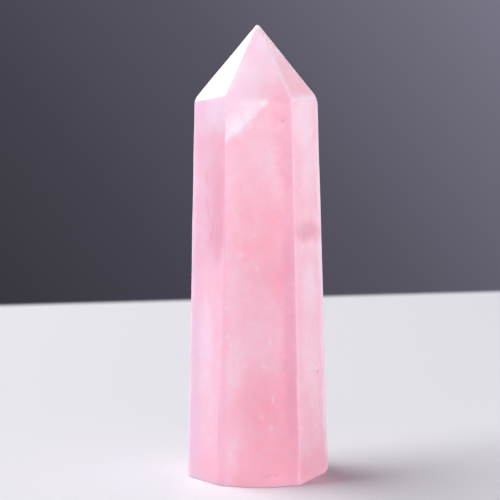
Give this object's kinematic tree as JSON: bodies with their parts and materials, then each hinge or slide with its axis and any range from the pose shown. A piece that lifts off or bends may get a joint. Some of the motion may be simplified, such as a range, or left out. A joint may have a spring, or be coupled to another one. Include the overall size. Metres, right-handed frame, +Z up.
{
  "type": "rose quartz obelisk",
  "caption": "Polished point of cloudy pink quartz that stands on a flat base: a tapering faceted shaft under a low faceted tip.",
  "frame": {"origin": "middle of the flat base, under the middle of the stone's box", "axes": "+Z up along the stone towards its tip, -Y out of the broad crowned front face, +X to the right as seen from the front"},
  "size_m": [0.025, 0.0216, 0.08],
  "materials": {
    "rose_quartz": "high polish, cloudy and translucent"
  },
  "bodies": {
    "root": {"obelisk": "rose_quartz"}
  },
  "joints": []
}
